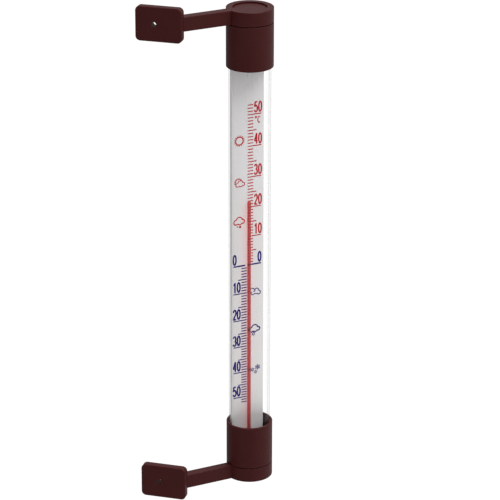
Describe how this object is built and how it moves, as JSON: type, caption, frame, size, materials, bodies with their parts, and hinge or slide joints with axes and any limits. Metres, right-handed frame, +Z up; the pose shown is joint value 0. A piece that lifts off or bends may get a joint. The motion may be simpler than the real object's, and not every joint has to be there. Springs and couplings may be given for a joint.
{
  "type": "outdoor window thermometer",
  "caption": "Outdoor window thermometer: a red spirit column on a printed scale in a clear tube, held at both ends by caps that swivel in bent screw-on brackets.",
  "frame": {"origin": "centre of the upper screw hole on the mounting plate's outer face, which meets the window frame", "axes": "+Z up, along the tube; +Y away from the window frame; +X from the mounting plates towards the tube"},
  "size_m": [0.0564, 0.04, 0.2432],
  "materials": {
    "brown_plastic": "dark reddish brown moulded plastic, satin",
    "clear_plastic": "clear extruded plastic tube",
    "white_plastic": "white moulded plastic with a printed scale",
    "thermometer_glass": "clear glass",
    "red_spirit": "red dyed spirit",
    "red_print": "red printing ink",
    "blue_print": "dark blue printing ink",
    "steel_wire": "bare steel wire",
    "foam": "dark foam"
  },
  "bodies": {
    "upper_bracket": {"upper_bracket": "brown_plastic"},
    "thermometer": {"upper_hub_plug": "brown_plastic", "upper_cap": "brown_plastic", "clear_tube": "clear_plastic", "scale_plate": "white_plastic", "glass_tube": "thermometer_glass", "red_spirit": "red_spirit", "stem_clip": "steel_wire", "upper_end_pad": "foam", "lower_end_pad": "foam", "lower_cap": "brown_plastic", "lower_hub_plug": "brown_plastic"},
    "lower_bracket": {"lower_bracket": "brown_plastic"}
  },
  "joints": [
    {"name": "tube_swivel", "type": "hinge", "parent": "upper_bracket", "child": "thermometer", "pos_m": [0.03659, 0.02895, 0], "axis": [0, 0, 1], "continuous": true},
    {"name": "lower_bracket_swivel", "type": "hinge", "parent": "thermometer", "child": "lower_bracket", "pos_m": [0.03659, 0.02895, -0.227], "axis": [0, 0, 1], "continuous": true}
  ]
}
